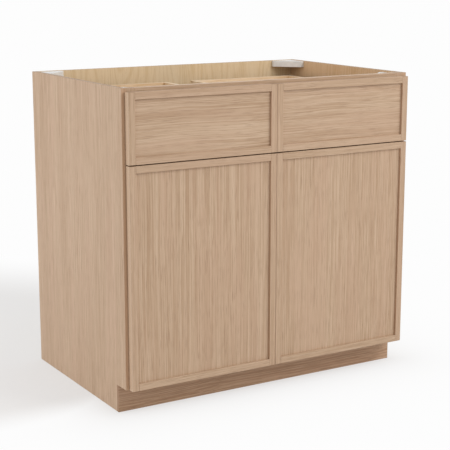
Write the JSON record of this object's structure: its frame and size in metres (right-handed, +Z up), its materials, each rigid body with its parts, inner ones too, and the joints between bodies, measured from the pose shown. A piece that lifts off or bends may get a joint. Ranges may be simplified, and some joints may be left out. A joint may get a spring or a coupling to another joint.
{
  "type": "kitchen base cabinet",
  "caption": "Open-topped oak base cabinet with a face frame, slim shaker drawer fronts over a pair of doors, a recessed toe kick and corner brackets for a worktop.",
  "frame": {"origin": "on the floor, in the middle of the width and in the middle of the depth over the fronts", "axes": "+X to the right seen from the front, +Y to the back, +Z up"},
  "size_m": [0.9144, 0.6062, 0.8763],
  "materials": {
    "oak": "matte, pale natural oak",
    "birch_plywood": "clear matte",
    "drawer_birch": "clear satin",
    "white_plastic": "moulded",
    "grey_plastic": "moulded",
    "nickel_steel": "nickel plated",
    "zinc_steel": "zinc plated sheet",
    "clear_rubber": "soft, translucent"
  },
  "bodies": {
    "cabinet": {"back_panel": "birch_plywood", "bottom_panel": "birch_plywood", "bumpers": "clear_rubber", "cabinet_screws": "nickel_steel", "corner_bracket_back_left": "white_plastic", "corner_bracket_back_right": "white_plastic", "corner_bracket_front_left": "white_plastic", "corner_bracket_front_right": "white_plastic", "drawer_slide_rails": "zinc_steel", "face_frame_bottom_rail": "oak", "face_frame_center_stile": "oak", "face_frame_left_stile": "oak", "face_frame_mid_rail": "oak", "face_frame_right_stile": "oak", "face_frame_top_rail": "oak", "hinge_arms": "nickel_steel", "left_side_panel": "oak", "right_side_panel": "oak", "shelf": "birch_plywood", "shelf_pins": "nickel_steel", "slide_rear_brackets": "grey_plastic", "toe_kick": "oak"},
    "left_door": {"left_door_hinge_cups": "nickel_steel", "left_door_hinge_pins": "nickel_steel", "left_door_hinge_screws": "nickel_steel", "left_door_panel": "oak", "left_door_rails": "oak", "left_door_stiles": "oak"},
    "right_door": {"right_door_hinge_cups": "nickel_steel", "right_door_hinge_pins": "nickel_steel", "right_door_hinge_screws": "nickel_steel", "right_door_panel": "oak", "right_door_rails": "oak", "right_door_stiles": "oak"},
    "left_drawer": {"left_drawer_bottom": "drawer_birch", "left_drawer_box_back": "drawer_birch", "left_drawer_box_front": "drawer_birch", "left_drawer_front_panel": "oak", "left_drawer_front_rails": "oak", "left_drawer_front_screws": "nickel_steel", "left_drawer_front_stiles": "oak", "left_drawer_inner_side": "drawer_birch", "left_drawer_locking_clips": "grey_plastic", "left_drawer_outer_side": "drawer_birch", "left_drawer_slide_channels": "zinc_steel"},
    "right_drawer": {"right_drawer_bottom": "drawer_birch", "right_drawer_box_back": "drawer_birch", "right_drawer_box_front": "drawer_birch", "right_drawer_front_panel": "oak", "right_drawer_front_rails": "oak", "right_drawer_front_screws": "nickel_steel", "right_drawer_front_stiles": "oak", "right_drawer_inner_side": "drawer_birch", "right_drawer_locking_clips": "grey_plastic", "right_drawer_outer_side": "drawer_birch", "right_drawer_slide_channels": "zinc_steel"},
    "left_middle_slides": {"left_drawer_middle_slides": "zinc_steel"},
    "right_middle_slides": {"right_drawer_middle_slides": "zinc_steel"}
  },
  "joints": [
    {"name": "left_door_hinge", "type": "hinge", "parent": "cabinet", "child": "left_door", "pos_m": [-0.44264, -0.2923, 0.37735], "axis": [0, 0, -1], "range_deg": [0, 95]},
    {"name": "right_door_hinge", "type": "hinge", "parent": "cabinet", "child": "right_door", "pos_m": [0.44264, -0.2923, 0.37735], "axis": [0, 0, 1], "range_deg": [0, 95]},
    {"name": "left_drawer_slide", "type": "slide", "parent": "cabinet", "child": "left_drawer", "axis": [0, -1, 0], "range_m": [0, 0.5]},
    {"name": "right_drawer_slide", "type": "slide", "parent": "cabinet", "child": "right_drawer", "axis": [0, -1, 0], "range_m": [0, 0.5]},
    {"name": "left_middle_slide", "type": "slide", "parent": "cabinet", "child": "left_middle_slides", "axis": [0, -1, 0], "range_m": [0, 0.25]},
    {"name": "right_middle_slide", "type": "slide", "parent": "cabinet", "child": "right_middle_slides", "axis": [0, -1, 0], "range_m": [0, 0.25]}
  ],
  "couplings": [
    {"joint": "left_middle_slide", "follows": "left_drawer_slide", "ratio": 0.5},
    {"joint": "right_middle_slide", "follows": "right_drawer_slide", "ratio": 0.5}
  ]
}
